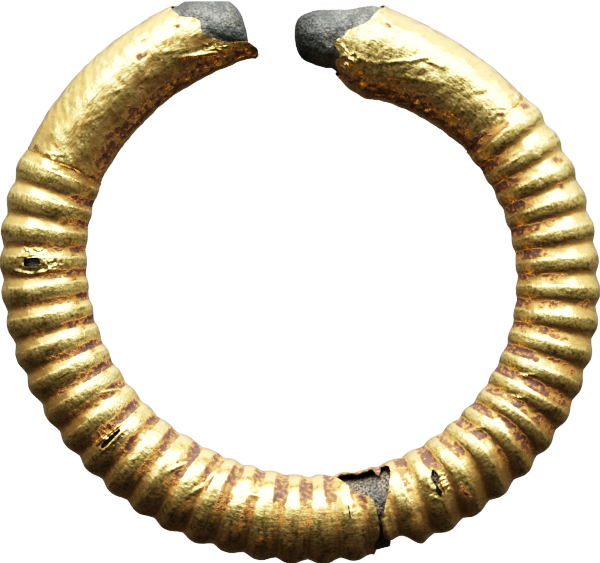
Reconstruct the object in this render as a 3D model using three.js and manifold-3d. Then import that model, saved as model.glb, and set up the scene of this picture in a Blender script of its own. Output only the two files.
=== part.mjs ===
// A penannular earring: gold foil wrapped over a cast bronze core, lying flat.
// The core is a round rod bent into an open hoop, with a knob at one end and a blunt end at the
// other. A sheath of foil crimped into narrow ribs covers most of it, and a plain foil sleeve
// covers each end. The foil is torn back at both ends and split low on the hoop, where the dark
// core shows.
// Millimetres. +Z is up, the opening of the hoop is at +Y, and the ribs rest on Z = 0.
import * as THREE from "three";
import Module from "manifold-3d";

const wasm = await Module();
wasm.setup();

const SIDES = 16; // facets round the tube
const FOIL = 0.08; // the foil's thickness
const CLEARANCE = 0.06; // between the foil and the core under it
const JOINT_GAP = 0.06; // between the ribbed sheath and a plain sleeve
const LYING_HEIGHT = 2.34; // of the tube's middle line, so that its fullest part touches Z = 0

// The middle line is a ring that has been bent a little out of round: bearing in degrees,
// counterclockwise from +X, and distance from the hoop's centre. It starts at the blunt end on
// the left, goes round below and stops at the knob.
const HOOP = [
  [-258, 13.23],
  [-229, 13.19],
  [-200, 13.08],
  [-170.5, 12.56],
  [-141.5, 11.98],
  [-112.5, 11.72],
  [-83, 11.9],
  [-54, 12.33],
  [-25, 12.79],
  [4, 12.85],
  [33, 12.62],
  [62.5, 12.15],
  [91.5, 12.08],
];

// The smooth tube under the ribs, outside the foil: place along the hoop, radius, and how far
// its centre lies outside the middle line. The core's bare ends have this form too.
const TUBE = [
  [0.1, 1.02, -0.45],
  [0.2, 1.24, -0.39],
  [0.6, 1.55, -0.2],
  [1.4, 1.77, -0.13],
  [2.2, 1.93, 0.0],
  [3.0, 1.98, 0.01],
  [5.0, 1.98, 0.0],
  [8.0, 2.05, 0.0],
  [12.0, 2.03, 0.0],
  [18.0, 2.06, 0.0],
  [25.0, 2.05, 0.0],
  [30.5, 2.14, 0.0],
  [37.0, 2.07, 0.0],
  [49.5, 2.06, 0.0],
  [56.0, 1.97, 0.0],
  [64.4, 1.98, 0.0],
  [67.0, 2.03, 0.0],
  [69.6, 2.13, 0.0],
  [70.8, 2.2, -0.01],
  [71.9, 2.33, -0.07],
  [72.5, 2.32, 0.03],
  [73.1, 2.1, 0.0],
  [73.7, 1.76, 0.04],
  [74.2, 1.56, 0.13],
  [74.9, 1.45, 0.13],
  [75.4, 1.33, 0.15],
  [75.8, 1.15, 0.14],
  [76.05, 0.9, 0.18],
  [76.2, 0.5, 0.2],
];

// The ribs are perpendicular to the middle line. The drift makes them a little wider where they
// start than where they end.
const RIBS = 38;
const RIBS_START = 12.0;
const RIBS_END = 65.0;
const RIB_DRIFT = 0.14;
const RIB_HEIGHT = 0.17; // over the grooves, at the top and underside of the tube
const RIB_LEAN = 0.05; // higher than that on the hoop's outer side, and lower on its inner side
const END_RIB = 0.75; // the height of the first and last rib, as a share of the middle ones
const RIB_SHARES = [0, 0.3, 0.7]; // of a rib's width: its groove, and the two sides of its crest

// Places along the hoop of the core's loops outside the ribbed part, closer at the bare ends.
const CORE_LEFT_END = [0.1, 0.2, 0.45, 1.0, 1.6, 2.8, 4.3, 5.8, 7.3, 8.8, 10.3, 11.3];
const CORE_RIGHT_END = [
  66.0, 67.0, 67.9, 69.0, 70.0, 70.8, 71.5, 72.0, 72.4, 72.8, 73.1, 73.4, 73.75, 74.5, 75.2,
  75.7, 76.0, 76.2,
];

// Where the foil of each sleeve ends, every 45 degrees round the tube from its outer side.
const LEFT_EDGE = [3.0, 2.65, 2.0, -0.35, -0.1, 0.5, 1.3, 2.3];
const RIGHT_EDGE = [72.45, 72.75, 74.3, 73.95, 73.9, 73.8, 73.4, 72.8];

// Each sleeve's loops, as shares of the way from its torn edge to the ribs.
const LEFT_SHARES = [0, 0.07, 0.16, 0.28, 0.4, 0.52, 0.64, 0.76, 0.88, 1];
const RIGHT_SHARES = [0, 0.05, 0.1, 0.17, 0.25, 0.35, 0.47, 0.6, 0.74, 0.88, 1];
const LEFT_FULLEST = 1.0; // nearer the blunt end than this the left sleeve keeps its width

// Each cut through the ribbed foil: angle round the tube, then where it starts and ends along
// the hoop. The tear is wide on the hoop's inner side and runs out as a crack over the rim.
const TEAR = [
  [-35, 40.42, 40.5],
  [-10, 40.2, 40.52],
  [20, 40.14, 40.46],
  [45, 40.3, 40.6],
  [60, 40.49, 40.78],
  [75, 40.65, 40.84],
  [84, 40.83, 40.91],
  [98, 40.72, 41.4],
  [110, 40.6, 41.71],
  [122, 40.0, 41.93],
  [136, 39.34, 42.03],
  [148, 39.0, 42.05],
  [160, 38.75, 41.8],
];
const SMALL_CUTS = [
  { along: 16.95, angle: 76, length: 0.44, spread: 11 },
  { along: 26.57, angle: 84, length: 0.22, spread: 18 },
  { along: 44.07, angle: 97, length: 0.42, spread: 15 },
];
const SMALL_CUT_STEPS = 6;
const CUT_DEPTHS = [1.5, 2.8]; // a cutter's inner and outer radius

// Beside the crack the rim is pressed in.
const DENT = { along: 41.15, reach: 1.0, angle: -5, spread: 62, depth: 0.5 };

// Value of column `column` of a table whose first column rises, on a smooth curve through it.
function curveThrough(table, column, x) {
  const last = table.length - 1;
  const inside = Math.min(Math.max(x, table[0][0]), table[last][0]);
  let i = table.findIndex((row) => row[0] >= inside) - 1;
  i = Math.max(i, 0);
  const slope = (k) => {
    const before = table[Math.max(k - 1, 0)];
    const after = table[Math.min(k + 1, last)];
    return (after[column] - before[column]) / (after[0] - before[0]);
  };
  const span = table[i + 1][0] - table[i][0];
  const t = (inside - table[i][0]) / span;
  return (
    (2 * t ** 3 - 3 * t ** 2 + 1) * table[i][column] +
    (t ** 3 - 2 * t ** 2 + t) * span * slope(i) +
    (3 * t ** 2 - 2 * t ** 3) * table[i + 1][column] +
    (t ** 3 - t ** 2) * span * slope(i + 1)
  );
}

// Value of an edge given every 45 degrees, at any angle round the tube.
function edgeAt(edge, degrees) {
  const table = [];
  for (let k = -2; k <= edge.length + 2; k++)
    table.push([k * 45, edge[(k + edge.length) % edge.length]]);
  return curveThrough(table, 1, degrees);
}

class MiddleLine extends THREE.Curve {
  getPoint(share, target = new THREE.Vector3()) {
    const degrees = THREE.MathUtils.lerp(HOOP[0][0], HOOP.at(-1)[0], share);
    const radius = curveThrough(HOOP, 1, degrees);
    const bearing = THREE.MathUtils.degToRad(degrees);
    return target.set(
      radius * Math.cos(bearing),
      radius * Math.sin(bearing),
      LYING_HEIGHT,
    );
  }
}
const hoop = new MiddleLine();
hoop.arcLengthDivisions = 2400;
const HOOP_LENGTH = hoop.getLength();

// A point of the tube: along the hoop, degrees round from its outer side over the top, radius.
function place(along, degrees, radius, shift = 0) {
  const share = THREE.MathUtils.clamp(along / HOOP_LENGTH, 0, 1);
  const tangent = hoop.getTangentAt(share);
  const outward = new THREE.Vector3(tangent.y, -tangent.x, 0);
  const angle = THREE.MathUtils.degToRad(degrees);
  return hoop
    .getPointAt(share)
    .addScaledVector(tangent, along - share * HOOP_LENGTH)
    .addScaledVector(outward, shift + radius * Math.cos(angle))
    .add(new THREE.Vector3(0, 0, radius * Math.sin(angle)));
}

function bump(x, middle, reach) {
  const t = (x - middle) / reach;
  return Math.abs(t) < 1 ? Math.cos((t * Math.PI) / 2) ** 2 : 0;
}

function dent(along, degrees) {
  const turned = THREE.MathUtils.euclideanModulo(degrees + 180, 360) - 180;
  return (
    DENT.depth *
    bump(along, DENT.along, DENT.reach) *
    bump(turned, DENT.angle, DENT.spread)
  );
}

// One loop of the smooth tube, `inset` below the foil's outside and `raised(degrees)` above it.
function loopOf(alongAt, inset, raised = () => 0) {
  const loop = [];
  for (let j = 0; j < SIDES; j++) {
    const degrees = (360 * j) / SIDES;
    const along = alongAt(degrees);
    const radius = curveThrough(TUBE, 1, along) - inset - dent(along, degrees);
    const shift = curveThrough(TUBE, 2, along);
    loop.push(place(along, degrees, radius + raised(degrees), shift));
  }
  return loop;
}

// A closed skin over loops of equal length. A hollow piece's last loop joins its first, and a
// solid one is closed by a fan at each end.
function skin(loops, hollow) {
  const size = loops[0].length;
  const points = loops.flat();
  const faces = [];
  const rows = hollow ? loops.length : loops.length - 1;
  for (let i = 0; i < rows; i++) {
    const here = i * size;
    const next = ((i + 1) % loops.length) * size;
    for (let j = 0; j < size; j++) {
      const k = (j + 1) % size;
      faces.push(here + j, next + j, next + k, here + j, next + k, here + k);
    }
  }
  if (!hollow) {
    [loops[0], loops.at(-1)].forEach((loop, end) => {
      const middle = new THREE.Vector3();
      loop.forEach((point) => middle.addScaledVector(point, 1 / size));
      const first = end ? (loops.length - 1) * size : 0;
      points.push(middle);
      for (let j = 0; j < size; j++) {
        const pair = [first + j, first + ((j + 1) % size)];
        faces.push(points.length - 1, ...(end ? pair.reverse() : pair));
      }
    });
  }
  const position = new Float32Array(points.flatMap((point) => point.toArray()));
  return { position, faces: new Uint32Array(faces) };
}

function geometryOf({ position, faces }) {
  const geometry = new THREE.BufferGeometry();
  geometry.setAttribute("position", new THREE.BufferAttribute(position, 3));
  geometry.setIndex(new THREE.BufferAttribute(faces, 1));
  geometry.computeVertexNormals();
  return geometry;
}

function solidOf({ position, faces }) {
  return new wasm.Manifold(
    new wasm.Mesh({ numProp: 3, vertProperties: position, triVerts: faces }),
  );
}

function cutFrom(body, cutters) {
  let solid = solidOf(body);
  for (const cutter of cutters) solid = solid.subtract(solidOf(cutter));
  const mesh = solid.getMesh();
  return geometryOf({ position: mesh.vertProperties, faces: mesh.triVerts });
}

// A wedge through the foil, from rows of angle, start and end.
function cutter(rows) {
  const [low, high] = CUT_DEPTHS;
  const loops = rows.map(([degrees, start, end]) => [
    place(start, degrees, low),
    place(end, degrees, low),
    place(end, degrees, high),
    place(start, degrees, high),
  ]);
  return skin(loops, false);
}

// A small cut is an eye: nothing at its two tips and `length` wide in the middle.
function smallCutter({ along, angle, length, spread }) {
  const rows = [];
  for (let k = 0; k <= SMALL_CUT_STEPS; k++) {
    const t = (2 * k) / SMALL_CUT_STEPS - 1;
    const half = (length / 2) * Math.max(Math.sqrt(1 - t * t), 0.05);
    rows.push([angle + spread * t, along - half, along + half]);
  }
  return cutter(rows);
}

function grooveAt(k) {
  const pitch = (RIBS_END - RIBS_START) / RIBS;
  return RIBS_START + k * pitch + RIB_DRIFT * Math.sin((Math.PI * k) / RIBS);
}

// Places along the ribbed part at shares `shares(k)` of each rib, with its end.
function ribPlaces(shares) {
  const places = [];
  for (let k = 0; k < RIBS; k++)
    for (const share of shares(k))
      places.push({
        along: THREE.MathUtils.lerp(grooveAt(k), grooveAt(k + 1), share),
        share,
      });
  places.push({ along: RIBS_END, share: 0 });
  return places;
}

// The core and the foil's inside need a loop only at each groove, and more at the dent.
const smoothPlaces = ribPlaces((k) => {
  const near = Math.abs(grooveAt(k + 0.5) - DENT.along) < DENT.reach + 0.3;
  return near ? RIB_SHARES : [0];
});

function ribbedSheath() {
  const outside = ribPlaces(() => RIB_SHARES).map(({ along, share }) => {
    const middle = Math.sin((Math.PI * (along - RIBS_START)) / (RIBS_END - RIBS_START));
    const fullness = THREE.MathUtils.lerp(END_RIB, 1, middle);
    const crest = (degrees) =>
      fullness * (RIB_HEIGHT + RIB_LEAN * Math.cos(THREE.MathUtils.degToRad(degrees)));
    return loopOf(() => along, 0, share > 0 ? crest : () => 0);
  });
  const inside = smoothPlaces.map(({ along }) => loopOf(() => along, FOIL));
  const body = skin([...outside, ...inside.reverse()], true);
  return cutFrom(body, [cutter(TEAR), ...SMALL_CUTS.map(smallCutter)]);
}

// A plain sleeve from its torn edge to where the ribs start, with loops at shares of its length.
function plainSleeve(edge, meets, shares, fullest) {
  const loops = (inset) =>
    shares.map((share) => {
      const alongAt = (degrees) =>
        THREE.MathUtils.lerp(edgeAt(edge, degrees), meets, share);
      return loopOf(alongAt, inset).map((point, j) => {
        const degrees = (360 * j) / SIDES;
        const along = alongAt(degrees);
        if (along >= fullest) return point;
        // Past the core's blunt end the foil keeps its width.
        const radius = curveThrough(TUBE, 1, fullest) - inset;
        return place(along, degrees, radius, curveThrough(TUBE, 2, fullest));
      });
    });
  const rows = [...loops(0), ...loops(FOIL).reverse()];
  return geometryOf(skin(meets < HOOP_LENGTH / 2 ? rows : rows.reverse(), true));
}

function bronzeCore() {
  const places = [
    ...CORE_LEFT_END,
    ...smoothPlaces.map(({ along }) => along),
    ...CORE_RIGHT_END,
  ];
  const loops = places.map((along) => loopOf(() => along, FOIL + CLEARANCE));
  return geometryOf(skin(loops, false));
}

function gold(colour, roughness) {
  return new THREE.MeshStandardMaterial({ color: colour, roughness, metalness: 1 });
}

const earring = new THREE.Group();
function add(name, geometry, material) {
  const mesh = new THREE.Mesh(geometry, material);
  mesh.name = name;
  earring.add(mesh);
}

add(
  "bronze_core",
  bronzeCore(),
  new THREE.MeshStandardMaterial({ color: 0x5a5f5c, roughness: 0.75, metalness: 0.3 }),
);
add("ribbed_foil_sheath", ribbedSheath(), gold(0xc9a84f, 0.38));
add(
  "plain_foil_sleeve_left",
  plainSleeve(
    LEFT_EDGE,
    RIBS_START - JOINT_GAP,
    LEFT_SHARES,
    LEFT_FULLEST,
  ),
  gold(0xcfae58, 0.42),
);
add(
  "plain_foil_sleeve_right",
  plainSleeve(
    RIGHT_EDGE,
    RIBS_END + JOINT_GAP,
    RIGHT_SHARES,
    -Infinity,
  ),
  gold(0xcfae58, 0.42),
);

export default earring;
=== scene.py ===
# %% [markdown]
# # A penannular earring of gold foil over a bronze core
# The real thing is an open hoop about 30 mm across. A bronze rod was cast or bent to an open
# ring, and three pieces of beaten gold foil were wrapped over it: a long one crimped into ribs,
# and a plain one over each end. The foil is torn at both ends and low on the hoop, and brown
# and purple deposits lie in the grooves.
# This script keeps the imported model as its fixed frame, and dresses each of its four pieces.

# %% Load the fixed frame
import math

import bpy
import numpy as np
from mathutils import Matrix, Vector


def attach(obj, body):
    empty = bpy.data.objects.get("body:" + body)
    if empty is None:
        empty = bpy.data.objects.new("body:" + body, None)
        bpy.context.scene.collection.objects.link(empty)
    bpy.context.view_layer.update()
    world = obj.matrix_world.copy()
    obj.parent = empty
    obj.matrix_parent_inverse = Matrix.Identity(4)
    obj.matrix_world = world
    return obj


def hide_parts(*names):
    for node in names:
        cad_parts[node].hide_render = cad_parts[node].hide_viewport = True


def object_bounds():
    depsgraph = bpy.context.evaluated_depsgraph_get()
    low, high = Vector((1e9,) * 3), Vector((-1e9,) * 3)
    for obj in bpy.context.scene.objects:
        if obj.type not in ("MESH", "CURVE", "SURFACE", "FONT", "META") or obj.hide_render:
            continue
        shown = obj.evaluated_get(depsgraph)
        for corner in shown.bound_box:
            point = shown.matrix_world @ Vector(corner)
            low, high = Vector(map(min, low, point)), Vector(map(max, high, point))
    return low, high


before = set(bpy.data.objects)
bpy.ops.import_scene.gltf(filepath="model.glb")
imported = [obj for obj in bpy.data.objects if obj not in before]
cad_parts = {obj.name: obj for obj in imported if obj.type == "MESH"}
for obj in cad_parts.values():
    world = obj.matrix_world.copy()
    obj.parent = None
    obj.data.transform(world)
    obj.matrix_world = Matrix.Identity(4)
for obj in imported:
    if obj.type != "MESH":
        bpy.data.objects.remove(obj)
cad_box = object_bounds()
MM = 0.001
print("nodes:", sorted(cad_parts))
print("hoop, mm:", [round(side / MM, 2) for side in cad_box[1] - cad_box[0]])

# %% [markdown]
# ## The hoop's own measures
# Everything on this object is told by two numbers: how far along the hoop it lies, from the
# blunt left end to the knob on the right, and how many degrees round the tube, from the hoop's
# outer side (0) over the top (90) to its inner side (180). The tables below are the same
# ones that the solids were built from, in millimetres and degrees.

# %% Measures of the hoop and of the tube
# Bearing from +X, and the middle line's distance from the hoop's centre.
HOOP = [
    [-258, 13.23], [-229, 13.19], [-200, 13.08], [-170.5, 12.56], [-141.5, 11.98], [-112.5, 11.72],
    [-83, 11.9], [-54, 12.33], [-25, 12.79], [4, 12.85], [33, 12.62], [62.5, 12.15], [91.5, 12.08],
]
# Along the hoop: radius outside the foil between the ribs, and the tube's shift outwards.
TUBE = [
    [0.1, 1.02, -0.45], [0.2, 1.24, -0.39], [0.6, 1.55, -0.2], [1.4, 1.77, -0.13], [2.2, 1.93, 0.0],
    [3.0, 1.98, 0.01], [5.0, 1.98, 0.0], [8.0, 2.05, 0.0], [12.0, 2.03, 0.0], [18.0, 2.06, 0.0],
    [25.0, 2.05, 0.0], [30.5, 2.14, 0.0], [37.0, 2.07, 0.0], [49.5, 2.06, 0.0], [56.0, 1.97, 0.0],
    [64.4, 1.98, 0.0], [67.0, 2.03, 0.0], [69.6, 2.13, 0.0], [70.8, 2.2, -0.01], [71.9, 2.33, -0.07],
    [72.5, 2.32, 0.03], [73.1, 2.1, 0.0], [73.7, 1.76, 0.04], [74.2, 1.56, 0.13], [74.9, 1.45, 0.13],
    [75.4, 1.33, 0.15], [75.8, 1.15, 0.14], [76.05, 0.9, 0.18], [76.2, 0.5, 0.2],
]
LYING_HEIGHT = 2.34
UNDERSIDE = -90
RIBS = 38
RIBS_START = 12.0
RIBS_END = 65.0
RIB_DRIFT = 0.14
FOIL = 0.06
CORE_INSET = 0.14


def curve_through(table, column, x):
    """A column of a table on a smooth curve through its rows, at any place x."""
    rows = np.array(table, float)
    knots, values = rows[:, 0], rows[:, column]
    inside = np.clip(x, knots[0], knots[-1])
    i = np.clip(np.searchsorted(knots, inside) - 1, 0, len(knots) - 2)
    last = len(knots) - 1
    before = np.maximum(np.arange(len(knots)) - 1, 0)
    after = np.minimum(np.arange(len(knots)) + 1, last)
    slopes = (values[after] - values[before]) / (knots[after] - knots[before])
    span = knots[i + 1] - knots[i]
    t = (inside - knots[i]) / span
    return (
        (2 * t**3 - 3 * t**2 + 1) * values[i]
        + (t**3 - 2 * t**2 + t) * span * slopes[i]
        + (3 * t**2 - 2 * t**3) * values[i + 1]
        + (t**3 - t**2) * span * slopes[i + 1]
    )


def wrapped(degrees, lowest):
    """The same angles, told from `lowest` to 360 degrees beyond it."""
    return (degrees - lowest) % 360 + lowest


def ring_point(bearing):
    """The middle line's point at a bearing."""
    radius = curve_through(HOOP, 1, bearing)
    turn = np.radians(bearing)
    return np.stack([radius * np.cos(turn), radius * np.sin(turn)], -1)


LINE_BEARINGS = np.linspace(HOOP[0][0], HOOP[-1][0], 2401)
LINE_STEPS = np.linalg.norm(np.diff(ring_point(LINE_BEARINGS), axis=0), axis=1)
LINE_ALONG = np.concatenate([[0.0], np.cumsum(LINE_STEPS)])
HOOP_LENGTH = LINE_ALONG[-1]
print("middle line, mm:", round(HOOP_LENGTH, 2))


def on_tube(along, degrees, radius, shift):
    """Points in metres: along the hoop, round the tube, at a radius from the shifted middle."""
    inside = np.clip(along, 0, HOOP_LENGTH)
    bearing = np.interp(inside, LINE_ALONG, LINE_BEARINGS)
    tangent = ring_point(bearing + 0.05) - ring_point(bearing - 0.05)
    tangent /= np.linalg.norm(tangent, axis=-1, keepdims=True)
    outward = np.stack([tangent[..., 1], -tangent[..., 0]], -1)
    turn = np.radians(degrees)
    flat = ring_point(bearing) + tangent * (along - inside)[..., None]
    flat = flat + outward * (shift + radius * np.cos(turn))[..., None]
    height = LYING_HEIGHT + radius * np.sin(turn)
    return np.concatenate([flat, height[..., None]], -1) * MM


# %% [markdown]
# ## Camera, floor and light
# The hoop was photographed from straight above, with a long lens: nothing of its far side is
# seen. So the camera looks down on the middle of the hoop, and 600 pixels are 30 mm wide there.
# Floor and backdrop are pale and glow by themselves, unseen by the gold. Polished metal shows
# what is round it more than its own colour, so the light matters as much as the gold: a wide
# soft box stands beyond the hoop's opening (towards +Y), a weak one on its left, and the room is
# bright on that side and dim on the other.

# %% Camera
PIXEL = 0.05 * MM
IMAGE_WIDTH = 600
CAMERA_HEIGHT = 0.6

view = bpy.data.cameras.new("photograph_view")
view.sensor_width = 36.0
view.lens = view.sensor_width * (CAMERA_HEIGHT - LYING_HEIGHT * MM) / (IMAGE_WIDTH * PIXEL)
view.clip_start = 0.01
view.clip_end = 10.0
camera = bpy.data.objects.new("camera", view)
camera.location = (0.0, 0.0, CAMERA_HEIGHT)
bpy.context.scene.collection.objects.link(camera)
bpy.context.scene.camera = camera
print("lens, mm:", round(view.lens))


# %% Helpers for colours, nodes and materials
def colour(hex_code):
    """A material colour from its sRGB hex code, turned linear, as (r, g, b, 1)."""
    parts = [int(hex_code[i : i + 2], 16) / 255 for i in (1, 3, 5)]
    linear = [p / 12.92 if p <= 0.04045 else ((p + 0.055) / 1.055) ** 2.4 for p in parts]
    return (*linear, 1.0)


def set_node(tree, node, settings=None, links=None):
    """Sets up a node. `settings` are its own settings or the values of its sockets, and `links`
    gives a socket the output of another node."""
    for name, value in (settings or {}).items():
        if isinstance(name, str) and hasattr(node, name):
            setattr(node, name, value)
        else:
            node.inputs[name].default_value = value
    for name, output in (links or {}).items():
        tree.links.new(output, node.inputs[name])
    return node


def add_node(tree, kind, settings=None, links=None):
    """Adds a node with its settings and links."""
    return set_node(tree, tree.nodes.new(kind), settings, links)


def new_material(name):
    """A new material, its node tree and its shader."""
    material = bpy.data.materials.new(name)
    material.use_nodes = True
    tree = material.node_tree
    return material, tree, tree.nodes["Principled BSDF"]


# %% Floor and backdrop
FLOOR_DROP = 0.01 * MM
FLOOR_SIZE = 1.2
BACKDROP_RADIUS = 3.0
CARD_GLOW = 3.2


def stage_material(name):
    """An evenly glowing card that takes no shadow, so that it reads as white paper."""
    material, tree, shader = new_material(name)
    settings = {"Base Color": colour("#000000"), "Roughness": 0.9, "Specular IOR Level": 0.0}
    glow = {"Emission Color": colour("#ffffff"), "Emission Strength": CARD_GLOW}
    set_node(tree, shader, {**settings, **glow})
    return material


bpy.ops.object.select_all(action="DESELECT")
bpy.ops.mesh.primitive_plane_add(size=FLOOR_SIZE, location=(0, 0, -FLOOR_DROP))
floor = bpy.context.object
floor.name = "floor"
floor.data.materials.append(stage_material("white_card"))
bpy.ops.object.select_all(action="DESELECT")
bpy.ops.mesh.primitive_uv_sphere_add(segments=48, ring_count=24, radius=BACKDROP_RADIUS)
backdrop = bpy.context.object
backdrop.name = "backdrop"
backdrop.data.materials.append(stage_material("white_paper"))
for card in (floor, backdrop):
    card.visible_glossy = False
    card.visible_diffuse = False
    card.visible_shadow = False


# %% Soft boxes and the dim room
SOFTBOX_DISTANCE = 0.6


def soft_box(name, bearing, elevation, size, power):
    """A rectangular soft light on a bearing from +X, turned to the hoop."""
    lamp = bpy.data.lights.new(name, "AREA")
    lamp.shape = "RECTANGLE"
    lamp.size, lamp.size_y = size
    lamp.energy = power
    box = bpy.data.objects.new(name, lamp)
    side, rise = math.radians(bearing), math.radians(elevation)
    level = math.cos(rise)
    away = (math.cos(side) * level, math.sin(side) * level, math.sin(rise))
    box.location = [SOFTBOX_DISTANCE * part for part in away]
    box.rotation_euler = box.location.to_track_quat("Z", "Y").to_euler()
    box.visible_camera = False
    bpy.context.scene.collection.objects.link(box)


# The light comes from over the hoop's opening and a little from its knobbed side. Each box has
# its bearing and elevation in degrees, its sides in metres and its power in watts.
LIGHT_BEARING = 84
soft_box("key_softbox", LIGHT_BEARING, 34, (1.05, 0.44), 10.0)
soft_box("left_softbox", 138, 44, (0.4, 0.4), 0.75)

# Brightness of the room by how far a direction turns to the light: -1 is straight away from it,
# 0 is overhead or underfoot, 1 is straight at it.
ROOM_LIGHT = [
    (-1.0, 0.06), (-0.5, 0.15), (0.0, 0.38), (0.3, 0.82), (0.6, 2.1), (0.8, 3.2), (1.0, 3.2),
]
ROOM_BRIGHTEST = 3.4
UNLIT_TINT = (1.1, 0.84, 0.74)

room = bpy.data.worlds.new("room")
bpy.context.scene.world = room
room.use_nodes = True
tree = room.node_tree
background = tree.nodes["Background"]
direction = add_node(tree, "ShaderNodeTexCoord").outputs["Generated"]
lit_way = math.radians(LIGHT_BEARING)
dot = {"operation": "DOT_PRODUCT", 1: (math.cos(lit_way), math.sin(lit_way), 0.0)}
to_light = add_node(tree, "ShaderNodeVectorMath", dot, {0: direction})
share = add_node(tree, "ShaderNodeMapRange", {1: -1.0, 2: 1.0}, {0: to_light.outputs["Value"]})
levels = add_node(tree, "ShaderNodeValToRGB", links={0: share.outputs[0]})
levels.color_ramp.interpolation = "B_SPLINE"
while len(levels.color_ramp.elements) < len(ROOM_LIGHT):
    levels.color_ramp.elements.new(0.5)
for element, (turned, light) in zip(levels.color_ramp.elements, ROOM_LIGHT):
    element.position = (turned + 1) / 2
    tint = UNLIT_TINT if turned < 0 else (1.0, 1.0, 1.0)
    element.color = (*[light / ROOM_BRIGHTEST * part for part in tint], 1.0)
background.inputs["Strength"].default_value = ROOM_BRIGHTEST
tree.links.new(levels.outputs[0], background.inputs["Color"])

# %% [markdown]
# The photograph has the contrast of a camera's own picture: darks are deep and rich in colour,
# and the brightest reflections run softly into cream. A curve over the plain view gives that
# response. It is worked out from its value at a few brightnesses.

# %% Contrast of the camera
BRIGHTEST = 3.0
RESPONSE = [
    (0.0, 0.0), (0.05, 0.009), (0.1, 0.025), (0.2, 0.077), (0.36, 0.19), (0.5, 0.3), (0.7, 0.45),
    (1.0, 0.63), (1.4, 0.78), (2.0, 0.91), (3.0, 1.0),
]
settings = bpy.context.scene.view_settings
settings.view_transform = "Standard"
settings.use_curve_mapping = True
settings.curve_mapping.white_level = (BRIGHTEST, BRIGHTEST, BRIGHTEST)
curve = settings.curve_mapping.curves[3]
while len(curve.points) < len(RESPONSE):
    curve.points.new(0.5, 0.5)
for point, (bright, shown) in zip(curve.points, RESPONSE):
    point.location = (bright / BRIGHTEST, shown)
settings.curve_mapping.update()

# %% [markdown]
# ## How the foil is made
# A goldsmith beats a flat sheet, cuts and crimps it, and then rolls it round the core. Here it
# is the same: each foil is a flat grid as wide as the tube's girth, with x along the hoop and
# y round it, one unit to the millimetre. It is given its thickness, its outer face is made
# finer, holes and tears are cut through it, and last it is rolled on the hoop, where functions
# of the same two numbers press the ribs, folds and dents. A mesh modelled as a tube
# from the start would have no such plain coordinates to cut and emboss by.

# %% Smooth seeded noise and soft steps
TUBE_RADIUS = 2.06
MM_PER_DEGREE = math.radians(1) * TUBE_RADIUS
# The noise repeats after so many hills.
HILLS = 128
HILL_GAIN = 1.5


def noise(x, y, seed):
    """Soft random hills about one unit across, from about -1 to 1, alike in every run."""
    angles = np.random.default_rng(seed).uniform(0, 2 * math.pi, (HILLS, HILLS))
    x0, y0 = np.floor(x).astype(int), np.floor(y).astype(int)
    fx, fy = x - x0, y - y0
    wx, wy = fx**3 * (fx * (6 * fx - 15) + 10), fy**3 * (fy * (6 * fy - 15) + 10)
    total = np.zeros_like(fx)
    for i, share_x in ((0, 1 - wx), (1, wx)):
        for j, share_y in ((0, 1 - wy), (1, wy)):
            angle = angles[(x0 + i) % HILLS, (y0 + j) % HILLS]
            total += share_x * share_y * (np.cos(angle) * (fx - i) + np.sin(angle) * (fy - j))
    return total * HILL_GAIN


def leaning_noise(along, round_mm, long, wide, lean, seed):
    """Noise stretched to hills `long` by `wide` mm that lean by `lean` degrees."""
    turn = math.radians(lean)
    u = (along * math.cos(turn) + round_mm * math.sin(turn)) / long
    v = (round_mm * math.cos(turn) - along * math.sin(turn)) / wide
    return noise(u, v, seed)


def step(x, start, end):
    """0 before start, 1 after end, smooth between."""
    t = np.clip((x - start) / (end - start), 0, 1)
    return t * t * (3 - 2 * t)


def plateau(x, start, full, fading, end):
    """1 from full to fading, 0 before start and after end, smooth between."""
    return step(x, start, full) * (1 - step(x, fading, end))


def mound(x, middle, reach):
    """1 at the middle and 0 from `reach` away."""
    t = np.clip((x - middle) / reach, -1, 1)
    return np.cos(t * math.pi / 2) ** 2


# %% Flat sheets
# Millimetres across the whole UV square, to the middle of a sheet in it, and on to its inner face.
SHEET_SPAN = 80
SHEET_MARGIN = 12
INNER_FACE = 16.0
KNIFE_REACH = 0.5


def select_only(piece):
    bpy.ops.object.select_all(action="DESELECT")
    piece.select_set(True)
    bpy.context.view_layer.objects.active = piece


def read_triples(items, field):
    """A field with three numbers, of all vertices or faces."""
    flat = np.empty(len(items) * 3)
    items.foreach_get(field, flat)
    return flat.reshape(-1, 3)


def coordinates(piece):
    return read_triples(piece.data.vertices, "co")


def set_coordinates(piece, points):
    piece.data.vertices.foreach_set("co", points.astype(np.float32).ravel())
    piece.data.update()


def within_frame(points):
    """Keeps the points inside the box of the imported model, less a hair."""
    hair = 0.002 * MM
    low, high = (np.array(corner) for corner in cad_box)
    return np.clip(points, low + hair, high - hair)


def flat_sheet(name, columns, rows, along_at, first_degree, last_degree):
    """A flat sheet of foil. `along_at(share, degrees)` says where each column lies."""
    bpy.ops.object.select_all(action="DESELECT")
    bpy.ops.mesh.primitive_grid_add(x_subdivisions=columns, y_subdivisions=rows, size=1)
    sheet = bpy.context.object
    sheet.name = sheet.data.name = name
    points = coordinates(sheet)
    degrees = first_degree + (points[:, 1] + 0.5) * (last_degree - first_degree)
    points[:, 0] = along_at(np.clip(points[:, 0] + 0.5, 0, 1), degrees)
    points[:, 1] = degrees * MM_PER_DEGREE
    set_coordinates(sheet, points)
    return sheet


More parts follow.
